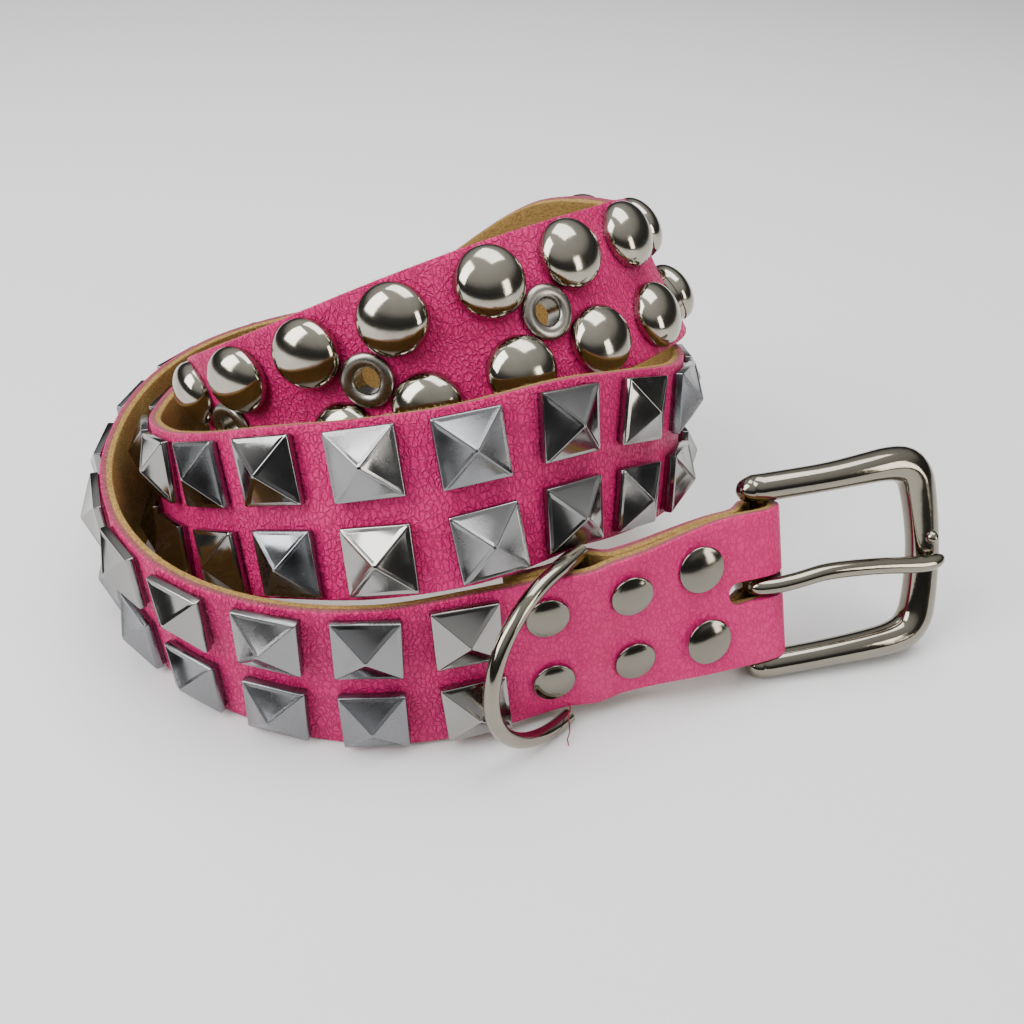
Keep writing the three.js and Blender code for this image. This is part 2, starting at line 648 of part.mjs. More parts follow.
place('d_ring', geometryOf(solidOf(dRing())), polishedNickel, ringFrame);

// The lowest point is set on Z = 0 and the middle of the outline over the origin
const box = new THREE.Box3().setFromObject(group, true);
const middle = box.getCenter(new THREE.Vector3());
group.position.set(-middle.x, -middle.y, -box.min.z);

export default group;
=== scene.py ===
# Looks of a studded leather belt that lies coiled on its edge, two and a half turns one inside
# the other. Every soft or pressed piece is modelled flat, as it lies on the bench, and then laid
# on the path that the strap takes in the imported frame. Metres, +Z up, the viewer on the -Y side.

import bisect
import json
import math
import random
from collections import namedtuple

import bmesh
import bpy
import numpy as np
from mathutils import Matrix, Vector, noise


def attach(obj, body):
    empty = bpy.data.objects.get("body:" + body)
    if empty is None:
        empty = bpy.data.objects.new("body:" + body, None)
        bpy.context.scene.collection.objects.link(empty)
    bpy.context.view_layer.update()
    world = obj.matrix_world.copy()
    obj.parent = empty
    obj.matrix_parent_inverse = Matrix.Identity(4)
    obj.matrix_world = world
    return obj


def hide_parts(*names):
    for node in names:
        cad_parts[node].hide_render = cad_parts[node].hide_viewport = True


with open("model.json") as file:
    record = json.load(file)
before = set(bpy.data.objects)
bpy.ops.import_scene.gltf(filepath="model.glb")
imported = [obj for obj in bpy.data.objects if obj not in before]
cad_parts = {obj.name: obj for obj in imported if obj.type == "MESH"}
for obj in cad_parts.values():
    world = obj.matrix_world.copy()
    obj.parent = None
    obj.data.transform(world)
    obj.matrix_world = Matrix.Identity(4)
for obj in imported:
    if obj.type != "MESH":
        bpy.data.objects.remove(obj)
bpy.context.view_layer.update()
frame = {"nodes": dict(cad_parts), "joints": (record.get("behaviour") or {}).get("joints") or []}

MM = 0.001

# Leather
STRAP_WIDTH = 40 * MM
STRAP_THICKNESS = 3 * MM
STRAP_LENGTH = 1203 * MM
TIP_LENGTH = 24 * MM
FOLD_BACK_LENGTH = 68 * MM
FOLD_RETURN = 11 * MM
LEATHER_STEP = 2 * MM
EDGE_ROUND = 0.5 * MM

THREAD_PLACE = 56.5 * MM
THREAD_RADIUS = 0.16 * MM
FIBRE_COUNT = 5000
FIBRE_LENGTH = 1.1 * MM
FIBRE_WIDTH = 0.09 * MM
FIBRE_ROOT = 0.1 * MM

# Coil
COIL_RADIUS = 82 * MM
NEST_GAP = 0.6 * MM

# Studs
STUD_PITCH = 22.9 * MM
STUD_ROW_SPACING = 21.4 * MM
STUD_SIZE = 15.6 * MM
STUD_WALL = 2.4 * MM
STUD_HEIGHT = 6.5 * MM
STUD_SEAT = 0.9 * MM
STUD_FOOT = 0.45 * MM
STUD_UNDERCUT = 0.45 * MM
STUD_CROWN = 0.05
RIDGE_WIDTH = 0.8 * MM
RIDGE_ROUND = 0.34 * MM
FACET_SINK = 0.26 * MM
FIRST_STUD = 79.4 * MM
TIP_MARGIN = 34 * MM
DOME_COLUMNS = 15
DOME_DIAMETER = 17.2 * MM
DOME_RIM = 1.2 * MM

# Eyelets and rivets
EYELET_COUNT = 5
EYELET_EVERY = 2
EYELETS_FROM_LAST = 1.5
EYELET_HOLE = 6.4 * MM
EYELET_WALL = 0.8 * MM
EYELET_FLANGE = 13.4 * MM
EYELET_BACK_FLANGE = 10.5 * MM
EYELET_ROLL = 1.3 * MM
RIVET_ROW_SPACING = 20 * MM
RIVET_CAP_HEIGHT = 1.5 * MM
RIVET_SHAFT = 4 * MM
RIVET_BACK_CAP = 8 * MM
RIVET_RIM = 0.93
RIVET_RIM_LOW = 0.1 * MM
RIVET_RIM_RISE = 0.4 * MM
RivetPair = namedtuple("RivetPair", "from_bar cap")
RIVET_PAIRS = [
    RivetPair(60 * MM, 10.6 * MM),
    RivetPair(39.2 * MM, 10.6 * MM),
    RivetPair(20.2 * MM, 12 * MM),
]

# Buckle
HEEL_BAR = 5 * MM
FRAME_SIDE_GAP = 0.5 * MM
FRAME_ARM = 7.3 * MM
FRAME_REACH = 48 * MM
FRAME_RISE = 11
FRAME_TAIL = 4.4 * MM
FRAME_BOW = 1.4 * MM
NUB_RADIUS = 1.9 * MM
NUB_ACROSS = 3.2 * MM
NUB_SINK = 0.3 * MM
PRONG_WIRE = 4.2 * MM
PRONG_SWAY = 1.2 * MM
SLOT_SIDE_GAP = 0.9 * MM
SLOT_LENGTH = 10 * MM

# Ring
RING_WIRE = 3.8 * MM
RING_REACH = 34 * MM
RING_ANGLE = 34
RING_SIDE_GAP = 0.5 * MM
RING_BULGE = 1.3 * MM
RING_POCKET = 8 * MM
RING_STRAIGHT = 9 * MM

CLEARANCE = 0.3 * MM

# Path of the outer face at the middle of the strap's width, the same rows as in the source
# turn: degrees round the coil, 0 at the front, 90 at the left, 180 at the back
# reach: distance from the coil's axis before nesting, as a share of COIL_RADIUS
# nest: turns that lie outside this one
# lift: height of the middle, as a share of STRAP_WIDTH
# lean: degrees that the top edge leans outwards
PathRow = namedtuple("PathRow", "turn reach nest lift lean")
COIL_PATH = [
    PathRow(-62, 1.377, 0, 0.696, -25),
    PathRow(-56, 1.276, 0, 0.704, -24),
    PathRow(-45, 1.150, 0, 0.648, -11),
    PathRow(-32, 1.056, 0, 0.590, -8),
    PathRow(-19, 1.021, 0, 0.540, -11),
    PathRow(-3, 1.027, 0, 0.510, -8),
    PathRow(13, 1.037, 0, 0.506, -4),
    PathRow(30, 1.042, 0, 0.506, -1),
    PathRow(45, 1.032, 0, 0.504, -1),
    PathRow(61, 1.010, 0, 0.504, -2),
    PathRow(80, 0.975, 0, 0.504, -2),
    PathRow(110, 0.930, 0, 0.504, 0),
    PathRow(145, 0.852, 0, 0.507, 0),
    PathRow(180, 0.824, 0, 0.520, 2),
    PathRow(215, 0.892, 0.3, 0.600, 2),
    PathRow(245, 1.020, 0.7, 0.830, 0),
    PathRow(268, 1.080, 1, 1.060, -4),
    PathRow(288, 1.070, 1, 1.275, -9),
    PathRow(305, 1.015, 1, 1.450, -17),
    PathRow(321, 0.985, 1, 1.560, -20),
    PathRow(340, 0.980, 1, 1.545, -26),
    PathRow(359, 0.966, 1, 1.460, -25),
    PathRow(377, 0.947, 1, 1.305, -19),
    PathRow(395, 0.943, 1, 1.075, -14),
    PathRow(413, 0.955, 1, 0.850, -9),
    PathRow(435, 0.965, 1, 0.620, -3),
    PathRow(460, 0.935, 1, 0.525, 0),
    PathRow(500, 0.844, 1, 0.520, 2),
    PathRow(540, 0.826, 1.1, 0.720, 2),
    PathRow(565, 0.839, 1.3, 1.260, 0),
    PathRow(588, 0.944, 1.6, 1.740, -10),
    PathRow(604, 1.060, 1.8, 1.900, -22),
    PathRow(617, 1.110, 2, 2.010, -32),
    PathRow(632, 0.990, 2, 2.115, -36),
    PathRow(652, 0.850, 2, 2.140, -36),
    PathRow(677, 0.760, 2, 2.090, -32),
    PathRow(705, 0.713, 2, 1.940, -22),
    PathRow(735, 0.707, 2, 1.700, -14),
    PathRow(762, 0.766, 2, 1.425, -8),
    PathRow(784, 0.862, 2, 1.135, 0),
    PathRow(802, 0.906, 2, 0.850, 4),
    PathRow(822, 0.903, 2, 0.600, 2),
    PathRow(850, 0.843, 2, 0.515, 0),
    PathRow(900, 0.745, 2, 0.505, 0),
    PathRow(960, 0.760, 2, 0.505, 0),
    PathRow(1020, 0.850, 2.4, 0.505, 0),
]
NEST_STEP = STRAP_THICKNESS + STUD_HEIGHT + NEST_GAP


def column_at(key, turn):
    """Value of one column of the path at any turn, as a smooth curve through the rows."""
    last = len(COIL_PATH) - 2
    i = min(max(bisect.bisect_left(PATH_TURNS, turn) - 1, 0), last)
    a, b = COIL_PATH[i], COIL_PATH[i + 1]
    before, after = COIL_PATH[max(i - 1, 0)], COIL_PATH[min(i + 2, last + 1)]
    low, high = getattr(a, key), getattr(b, key)
    slope_a = (high - getattr(before, key)) / (b.turn - before.turn)
    slope_b = (getattr(after, key) - low) / (after.turn - a.turn)
    span = b.turn - a.turn
    x = (turn - a.turn) / span
    if x < 0:
        return low + slope_a * (turn - a.turn)
    if x > 1:
        return high + slope_b * (turn - b.turn)
    blend = x * x * (3 - 2 * x)
    rise = span * x * (1 - x) * ((1 - x) * slope_a - x * slope_b)
    return low * (1 - blend) + high * blend + rise


def path_point(turn):
    radius = COIL_RADIUS * column_at("reach", turn) - NEST_STEP * column_at("nest", turn)
    angle = math.radians(turn)
    height = STRAP_WIDTH * column_at("lift", turn)
    return Vector((-radius * math.sin(angle), -radius * math.cos(angle), height))


PATH_TURNS = [row.turn for row in COIL_PATH]
fine_turns = np.arange(PATH_TURNS[0], PATH_TURNS[-1], 0.1)
fine_points = np.array([path_point(turn) for turn in fine_turns])
fine_steps = np.linalg.norm(np.diff(fine_points, axis=0), axis=1)
fine_lengths = np.concatenate([[0], np.cumsum(fine_steps)])
frames_made = {}


def coil_frame(s):
    """Frame of the strap about the coil's axis: X back to the buckle, Y up, Z out of the face."""
    turn = float(np.interp(max(s, 0), fine_lengths, fine_turns))
    along = (path_point(turn + 0.5) - path_point(turn - 0.5)).normalized()
    up = Vector((0, 0, 1))
    up = (up - along * up.dot(along)).normalized()
    out = up.cross(along)
    lean = math.radians(column_at("lean", turn))
    across = up * math.cos(lean) + out * math.sin(lean)
    face = across.cross(along)
    origin = path_point(turn) + along * min(s, 0)
    basis = Matrix((-along, across, face)).transposed().to_4x4()
    return Matrix.Translation(origin) @ basis


fold_radius = STRAP_THICKNESS + 2 * CLEARANCE + HEEL_BAR / 2

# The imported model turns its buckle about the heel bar, and that places the coil's axis
swing = next(joint for joint in frame["joints"] if joint["name"] == "frame_swing")
heel_bar_place = coil_frame(0) @ Vector((0, 0, -fold_radius))
coil_axis = Vector(swing["pos_m"]) - heel_bar_place


def strap_frame(s):
    """Frame of the strap s metres from the heel bar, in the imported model's place."""
    key = round(s, 6)
    if key not in frames_made:
        frames_made[key] = Matrix.Translation(coil_axis) @ coil_frame(s)
    return frames_made[key]


ring_place = (RIVET_PAIRS[0].from_bar + RIVET_PAIRS[1].from_bar) / 2
ring_pocket_depth = RING_WIRE + 6 * CLEARANCE
last_dome = STRAP_LENGTH - TIP_MARGIN
first_dome = last_dome - STUD_PITCH * (DOME_COLUMNS - 1)
pyramid_columns = math.floor((first_dome - FIRST_STUD) / STUD_PITCH)
fold_length = math.pi * fold_radius


def pocket_share(s):
    """Share of the pocket's full depth round the ring's bar."""
    x = min(abs(s - ring_place) / RING_POCKET, 1)
    return (1 + math.cos(math.pi * x)) / 2


def layer_gap(s):
    """Space between the two layers of leather."""
    x = min(max(s / FOLD_RETURN, 0), 1)
    bar = (HEEL_BAR + 3 * CLEARANCE) * (1 + math.cos(math.pi * x)) / 2
    return CLEARANCE + bar + (ring_pocket_depth - CLEARANCE) * pocket_share(s)


def laid(point):
    """Place of a point of the flat leather: X along it from the fold's front, Z over its face."""
    x, y, z = point
    if x >= 0:
        return strap_frame(x) @ Vector((0, y, RING_BULGE * pocket_share(x) + z))
    if x > -fold_length:
        angle = -x / fold_radius
        reach = fold_radius + z
        spoke = Vector((reach * math.sin(angle), y, reach * math.cos(angle) - fold_radius))
        return strap_frame(0) @ spoke
    s = -x - fold_length
    face = RING_BULGE * pocket_share(s) - 2 * STRAP_THICKNESS - layer_gap(s)
    return strap_frame(s) @ Vector((0, y, face - z))


# Working with Blender's own tools

def only(piece):
    """Select one object alone and make it the active one."""
    bpy.ops.object.select_all(action="DESELECT")
    piece.select_set(True)
    bpy.context.view_layer.objects.active = piece


def finish_modifiers(piece):
    only(piece)
    for modifier in list(piece.modifiers):
        bpy.ops.object.modifier_apply(modifier=modifier.name)


def smooth(piece, angle=35):
    only(piece)
    bpy.ops.object.shade_smooth_by_angle(angle=math.radians(angle))


def apply_place(piece):
    only(piece)
    bpy.ops.object.transform_apply(location=True, rotation=True, scale=True)


def pick(piece, test):
    """In edit mode, select the faces whose middle and normal pass a test, and no others."""
    bpy.ops.mesh.select_all(action="DESELECT")
    bpy.ops.mesh.select_mode(type="FACE")
    mesh = bmesh.from_edit_mesh(piece.data)
    for face in mesh.faces:
        face.select_set(test(face.calc_center_median(), face.normal))
    bmesh.update_edit_mesh(piece.data)


def edit_points():
    """Start editing the active piece by its points, with all of them selected."""
    bpy.ops.object.mode_set(mode="EDIT")
    bpy.ops.mesh.select_mode(type="VERT")
    bpy.ops.mesh.select_all(action="SELECT")


def turned(name, profile, sides):
    """A piece turned about Z from a profile of (radius, height), closed on the axis or on itself."""
    mesh = bpy.data.meshes.new(name)
    points = [(radius, 0, height) for radius, height in profile]
    mesh.from_pydata(points, [(i, i + 1) for i in range(len(points) - 1)], [])
    piece = bpy.data.objects.new(name, mesh)
    bpy.context.collection.objects.link(piece)
    only(piece)
    edit_points()
    bpy.ops.mesh.spin(steps=sides, angle=2 * math.pi, center=(0, 0, 0), axis=(0, 0, 1))
    bpy.ops.mesh.select_all(action="SELECT")
    bpy.ops.mesh.remove_doubles(threshold=0.01 * MM)
    bpy.ops.mesh.normals_make_consistent(inside=False)
    bpy.ops.object.mode_set(mode="OBJECT")
    return piece


def section_place(stations, i, closed):
    """Place of one oval section: its half sizes along the side given and square to it."""
    count = len(stations)
    before = stations[(i - 1) % count if closed else max(i - 1, 0)][0]
    after = stations[(i + 1) % count if closed else min(i + 1, count - 1)][0]
    middle, side, wide, thick = stations[i]
    ahead = (after - before).normalized()
    first = (side - ahead * side.dot(ahead)).normalized()
    second = ahead.cross(first)
    basis = Matrix((first * wide, second * thick, ahead)).transposed().to_4x4()
    return Matrix.Translation(middle) @ basis


def drawn(name, stations, sides, closed=False):
    """A bar drawn out through stations of (middle, side, half width, half thickness)."""
    fill = "NOTHING" if closed else "NGON"
    bpy.ops.mesh.primitive_circle_add(vertices=sides, radius=1, fill_type=fill)
    bar = bpy.context.object
    bar.name = name
    edit_points()
    placed = Matrix.Identity(4)
    for i in range(len(stations)):
        if i:
            bpy.ops.mesh.extrude_region_move()
        place = section_place(stations, i, closed)
        mesh = bmesh.from_edit_mesh(bar.data)
        ring = [vert for vert in mesh.verts if vert.select]
        bmesh.ops.transform(mesh, matrix=place @ placed.inverted(), verts=ring)
        placed = place
    if closed:
        bpy.ops.mesh.select_all(action="DESELECT")
        mesh = bmesh.from_edit_mesh(bar.data)
        for edge in mesh.edges:
            edge.select_set(edge.is_boundary)
        bpy.ops.mesh.bridge_edge_loops()
    bpy.ops.mesh.select_all(action="SELECT")
    bpy.ops.mesh.normals_make_consistent(inside=False)
    bpy.ops.object.mode_set(mode="OBJECT")
    return bar


def copies_laid(name, model, places):
    """Copies of one model at many places, each with its own mesh and tone, joined as one piece."""
    draw = random.Random(name)
    copies = []
    for place in places:
        copy = model.copy()
        copy.data = model.data.copy()
        copy.data.transform(place)
        tone = copy.data.attributes.new("tone", "FLOAT", "POINT")
        tone.data.foreach_set("value", [draw.random()] * len(copy.data.vertices))
        bpy.context.collection.objects.link(copy)
        copies.append(copy)
    bpy.data.objects.remove(model)
    bpy.ops.object.select_all(action="DESELECT")
    for copy in copies:
        copy.select_set(True)
    bpy.context.view_layer.objects.active = copies[0]
    bpy.ops.object.join()
    piece = bpy.context.object
    piece.name = name
    return piece


# Materials

class Signal:
    """A shader socket that can stand in a sum."""

    def __init__(self, paint, socket):
        self.paint = paint
        self.socket = socket

    def math(self, operation, *others):
        return self.paint.node("ShaderNodeMath", {"operation": operation}, [self, *others])

    def __add__(self, other):
        return self.math("ADD", other)

    def __radd__(self, other):
        return self.math("ADD", other)

    def __sub__(self, other):
        return self.math("SUBTRACT", other)

    def __rsub__(self, other):
        return self.paint.node("ShaderNodeMath", {"operation": "SUBTRACT"}, [other, self])

    def __mul__(self, other):
        return self.math("MULTIPLY", other)

    def __rmul__(self, other):
        return self.math("MULTIPLY", other)

    def __truediv__(self, other):
        return self.math("DIVIDE", other)

    def ramp(self, low, high):
        """0 below low, 1 above high, smooth between; falls where low is above high."""
        settings = {"interpolation_type": "SMOOTHSTEP"}
        if low < high:
            return self.paint.node("ShaderNodeMapRange", settings, [self, low, high, 0, 1])
        return self.paint.node("ShaderNodeMapRange", settings, [self, high, low, 1, 0])


class Paint:
    """One material: a principled surface and the nodes that feed it."""

    def __init__(self, name):
        self.material = bpy.data.materials.new(name)
        self.material.use_nodes = True
        self.tree = self.material.node_tree
        self.tree.nodes.clear()
        self.shader = self.tree.nodes.new("ShaderNodeBsdfPrincipled")
        output = self.tree.nodes.new("ShaderNodeOutputMaterial")
        self.tree.links.new(self.shader.outputs[0], output.inputs[0])

    def feed(self, socket, value):
        if isinstance(value, Signal):
            self.tree.links.new(value.socket, socket)
        else:
            socket.default_value = value

    def node(self, kind, settings, inputs, output=0):
        """A node: its settings first, then its inputs by order or by name."""
        made = self.tree.nodes.new(kind)
        for key, value in settings.items():
            setattr(made, key, value)
        pairs = inputs.items() if isinstance(inputs, dict) else enumerate(inputs)
        for key, value in pairs:
            self.feed(made.inputs[key], value)
        return Signal(self, made.outputs[output])

    def place(self):
        return self.node("ShaderNodeTexCoord", {}, {}, "Object")

    def attribute(self, name, output):
        return self.node("ShaderNodeAttribute", {"attribute_name": name}, {}, output)

    def scaled(self, vector, x, y, z):
        inputs = [vector, (x, y, z)]
        return self.node("ShaderNodeVectorMath", {"operation": "MULTIPLY"}, inputs)

    def noise(self, vector, scale, detail=3.0, roughness=0.5, output="Fac"):
        inputs = {"Vector": vector, "Scale": scale, "Detail": detail, "Roughness": roughness}
        return self.node("ShaderNodeTexNoise", {}, inputs, output)

    def cells(self, vector, scale):
        """Distance from the nearest crease between random cells."""
        settings = {"feature": "DISTANCE_TO_EDGE"}
        return self.node("ShaderNodeTexVoronoi", settings, {"Vector": vector, "Scale": scale})

    def warped(self, vector, scale, amount):
        wander = self.noise(vector, scale, 2.0, 0.5, "Color")
        centred = self.node("ShaderNodeVectorMath", {"operation": "SUBTRACT"}, [wander, (0.5, 0.5, 0.5)])
        shift = self.scaled(centred, amount, amount, amount)
        return self.node("ShaderNodeVectorMath", {"operation": "ADD"}, [vector, shift])

    def mix(self, share, first, second):
        """Colour between two colours."""
        inputs = {0: share, 6: first, 7: second}
        return self.node("ShaderNodeMix", {"data_type": "RGBA"}, inputs, 2)

    def bump(self, height, strength, distance):
        inputs = {"Strength": strength, "Distance": distance, "Height": height}
        return self.node("ShaderNodeBump", {}, inputs)

    def surface(self, **inputs):
        for key, value in inputs.items():
            self.feed(self.shader.inputs[key.replace("_", " ")], value)
        return self.material


def colour(red, green, blue):
    """A colour as it looks on a screen, 0 to 255, as the shader wants it."""
    straight = []
    for value in (red, green, blue):
        v = value / 255
        straight.append(v / 12.92 if v <= 0.04045 else ((v + 0.055) / 1.055) ** 2.4)
    return (*straight, 1)


LEATHER_PINK = colour(214, 18, 110)
# painted shade: the dark wine pink that the valleys of the grain take on
LEATHER_VALLEY_SHADE = colour(112, 4, 48)
LEATHER_PALE = colour(222, 36, 124)
EDGE_COAT = colour(142, 70, 82)
SUEDE = colour(196, 160, 92)
SUEDE_DARK = colour(132, 98, 48)
NICKEL = colour(168, 163, 149)
STUD_NICKEL = colour(150, 148, 144)
SATIN_NICKEL = colour(150, 146, 138)
DARK_NICKEL = colour(138, 133, 120)
GUNMETAL = colour(122, 118, 108)


def leather_material():
    """Pebbled pink face with painted shade in the grain's valleys, brown pink coat on the cut edge, tan
    suede inside and behind.
    """
    paint = Paint("pink_leather")
    flat = paint.attribute("flat_place", "Vector")
    depth = paint.attribute("depth", "Fac")
    tab = paint.attribute("tab", "Fac")
    grain_place = paint.warped(paint.warped(flat, 0.22, 2.4), 0.9, 0.9)
    stretched = paint.scaled(grain_place, 1.25, 0.7, 0.6)
    large = paint.cells(stretched, 0.72).ramp(0.0, 0.17)
    small = paint.cells(stretched, 1.5).ramp(0.0, 0.2)
    patchy = paint.noise(flat, 0.07, 2.0).ramp(0.35, 0.65)
    pebble = large * (0.7 + 0.3 * small)
    creases = paint.noise(paint.scaled(grain_place, 0.9, 0.16, 0.5), 0.9, 4.0, 0.6)
    fine = paint.noise(flat, 3.2, 3.0, 0.6)
    relief = pebble * (1.0 - 0.55 * tab) * (0.6 + 0.4 * patchy) + (0.22 + 1.2 * tab) * creases + 0.05 * fine
    fuzz = paint.noise(paint.scaled(flat, 0.9, 2.2, 2.2), 1.4, 5.0, 0.7)
    coat = (depth + 0.5 * fuzz - 0.25).ramp(0.22, 0.5)
    bare = (depth + 1.0 * fuzz - 0.5).ramp(1.35, 1.65)
    mottled = paint.noise(flat, 0.05, 3.0).ramp(0.3, 0.7)
    pink = paint.mix(0.35 * mottled, LEATHER_PINK, LEATHER_PALE)
    # painted shade: the pink darkens towards the dark wine pink in the valleys between the pebbles, less on
    # the smooth tab
    pink = paint.mix((1.0 - pebble) * (0.5 - 0.2 * tab), pink, LEATHER_VALLEY_SHADE)
    suede = paint.mix(fuzz.ramp(0.3, 0.7), SUEDE, SUEDE_DARK)
    edged = paint.mix(coat, pink, EDGE_COAT)
    shade = paint.mix(bare, edged, suede)
    nap = relief * (1.0 - bare) + fuzz * bare * 2.2
    rough = 0.44 + 0.14 * (1.0 - pebble) + 0.4 * bare
    return paint.surface(
        Base_Color=shade, Roughness=rough, Normal=paint.bump(nap, 0.8, 0.45 * MM),
        Specular_IOR_Level=0.35,
    )


def metal_material(name, shade, rough, wear, ripple):
    """Plated metal: a soft waviness of the polish, and fine marks that dull it in places."""
    paint = Paint(name)
    place = paint.place()
    marks = paint.noise(paint.scaled(place, 1.0, 1.0, 2.5), 900.0, 4.0, 0.7).ramp(0.5, 0.8)
    smears = paint.noise(place, 160.0, 3.0, 0.6).ramp(0.4, 0.75)
    wave = paint.noise(place, 240.0, 2.0)
    dull = rough + wear * (0.6 * smears + 0.4 * marks)
    tinted = paint.mix(0.25 * smears, shade, colour(118, 114, 106))
    return paint.surface(
        Base_Color=tinted, Metallic=1.0, Roughness=dull,
        Normal=paint.bump(wave + 0.15 * marks, ripple, 0.1 * MM),
    )


def stud_material():
    """Polished pressed nickel; some studs carry a sandy grain from the press."""
    paint = Paint("stud_nickel")
    place = paint.place()
    tone = paint.attribute("tone", "Fac")
    sand = paint.noise(place, 2600.0, 3.0, 0.7)
    sandy = (paint.noise(place, 70.0, 1.0) + 0.5 * tone).ramp(0.72, 0.9)
    smears = paint.noise(place, 190.0, 3.0, 0.6).ramp(0.42, 0.75)
    rough = 0.11 + 0.08 * smears + 0.16 * sandy
    shade = paint.mix(0.8 * tone, STUD_NICKEL, colour(118, 121, 128))
    return paint.surface(
        Base_Color=shade, Metallic=1.0, Roughness=rough,
        Normal=paint.bump(sand * sandy + 0.1 * smears, 0.35, 0.08 * MM),
    )


leather = leather_material()
stud_metal = stud_material()
dome_metal = metal_material("dome_nickel", NICKEL, 0.09, 0.12, 0.2)
buckle_metal = metal_material("buckle_nickel", DARK_NICKEL, 0.08, 0.07, 0.2)
cap_metal = metal_material("cap_nickel", GUNMETAL, 0.12, 0.1, 0.2)
eyelet_metal = metal_material("eyelet_nickel", SATIN_NICKEL, 0.26, 0.12, 0.3)


def dress(piece, material, body, slot, *nodes):
    """Give a finished piece its material and its body, and hide the nodes that it stands for."""
    piece.data.materials.clear()
    piece.data.materials.append(material)
    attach(piece, body)
    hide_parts(*nodes)


# Leather

def cutter_pin(diameter, x, y, stretch=0.0, sides=32):
    """A pin that cuts a round hole in the flat leather, or a slot if it is stretched along it."""
    bpy.ops.mesh.primitive_cylinder_add(
        vertices=sides, radius=diameter / 2, depth=4 * STRAP_THICKNESS, location=(x, y, 0))
    pin = bpy.context.object
    apply_place(pin)
    if stretch:
        for vert in pin.data.vertices:
            vert.co.x += math.copysign(stretch / 2, vert.co.x - x)
    return pin


def eyelet_places():
    """Distances of the eyelets: midway between columns of domes, back from the last one."""
    steps = [EYELETS_FROM_LAST + EYELET_EVERY * i for i in reversed(range(EYELET_COUNT))]
    return [last_dome - STUD_PITCH * step for step in steps]


def flat_leather():
    """The strap before it is folded: a sheet with a thickness, a round tip, holes and a slot."""
    start = -fold_length - FOLD_BACK_LENGTH
    length = STRAP_LENGTH - start
    bpy.ops.mesh.primitive_grid_add(
        x_subdivisions=round(length / LEATHER_STEP), y_subdivisions=round(STRAP_WIDTH / LEATHER_STEP),
        size=1, location=(start + length / 2, 0, 0))
    sheet = bpy.context.object
    sheet.name = "strap_leather"
    sheet.scale = (length, STRAP_WIDTH, 1)
    apply_place(sheet)
    for vert in sheet.data.vertices:
        into_tip = max(1 - (STRAP_LENGTH - vert.co.x) / TIP_LENGTH, 0)
        vert.co.y *= math.sqrt(1 - 0.93 * into_tip ** 2)
    wall = sheet.modifiers.new("wall", "SOLIDIFY")
    wall.thickness = STRAP_THICKNESS
    wall.offset = -1
    rounding = sheet.modifiers.new("rounding", "BEVEL")
    rounding.width = EDGE_ROUND
    rounding.segments = 2
    rounding.limit_method = "ANGLE"
    rounding.angle_limit = math.radians(60)
    finish_modifiers(sheet)
    slot_height = PRONG_WIRE + 2 * SLOT_SIDE_GAP
    slot_run = fold_length + 2 * SLOT_LENGTH
    pins = [cutter_pin(slot_height, -fold_length / 2, 0, stretch=slot_run)]
    tube = EYELET_HOLE + 2 * EYELET_WALL + 2 * CLEARANCE
    for s in eyelet_places():
        pins.append(cutter_pin(tube, s, 0))
    bpy.ops.object.select_all(action="DESELECT")
    for pin in pins:
        pin.select_set(True)
    bpy.context.view_layer.objects.active = pins[0]
    bpy.ops.object.join()
    holes = sheet.modifiers.new("holes", "BOOLEAN")
    holes.object = pins[0]
    holes.operation = "DIFFERENCE"
    holes.solver = "EXACT"
    finish_modifiers(sheet)
    bpy.data.objects.remove(pins[0])
    return sheet


def strap_leather():
    """The leather laid on its path, with its place on the flat sheet kept for the grain."""
    sheet = flat_leather()
    mesh = sheet.data
    count = len(mesh.vertices)
    flat = np.empty(count * 3)
    mesh.vertices.foreach_get("co", flat)
    flat = flat.reshape(-1, 3)
    flat_place = mesh.attributes.new("flat_place", "FLOAT_VECTOR", "POINT")
    flat_place.data.foreach_set("vector", (flat / MM).ravel())
    depth = mesh.attributes.new("depth", "FLOAT", "POINT")
    depth.data.foreach_set("value", -flat[:, 2] / MM)
    tab = mesh.attributes.new("tab", "FLOAT", "POINT")
    tab_share = np.clip((FOLD_BACK_LENGTH + 8 * MM - flat[:, 0]) / (12 * MM), 0, 1)
    tab.data.foreach_set("value", tab_share)
    for vert, (x, y, z) in zip(mesh.vertices, flat):
        swell = 0.0
        if FOLD_BACK_LENGTH < x and z > -EDGE_ROUND:
            swell = 0.22 * MM * noise.noise(Vector((x / (9 * MM), y / (9 * MM), 0)))
        vert.co = laid((x, y, z + swell))
    smooth(sheet, 50)
    dress(sheet, leather, "strap", "pink_leather", "studded_strap")


# out: distance from the fold's lower edge towards the viewer, in mm
# up: height over the same edge, in mm
THREAD_PATH = [(0, 0.3), (1.9, 0.5), (3.7, 0.4), (5.5, -0.6), (7, -2.2), (8.4, -3.3), (10, -3.6)]


def thread_material():
    paint = Paint("red_thread")
    twist = paint.noise(paint.scaled(paint.place(), 1.0, 0.3, 1.0), 2400.0, 2.0)
    shade = paint.mix(twist.ramp(0.35, 0.65), colour(150, 30, 44), colour(96, 14, 26))
    return paint.surface(Base_Color=shade, Roughness=0.8)


def loose_thread():
    """A loose end of thread that comes out of the fold's lower edge, over the ring's wire."""
    root = laid((THREAD_PLACE, EDGE_ROUND - STRAP_WIDTH / 2, -EDGE_ROUND))
    stations = []
    for i, (out, up) in enumerate(THREAD_PATH):
        sway = 0.3 * MM * math.sin(2.1 * i)
        middle = root + Vector((sway, -out * MM, up * MM))
        stations.append((middle, Vector((1, 0, 0)), THREAD_RADIUS, THREAD_RADIUS))
    thread = drawn("loose_thread", stations, 8)
    smooth(thread, 60)
    dress(thread, thread_material(), "strap", "pink_leather", "studded_strap")


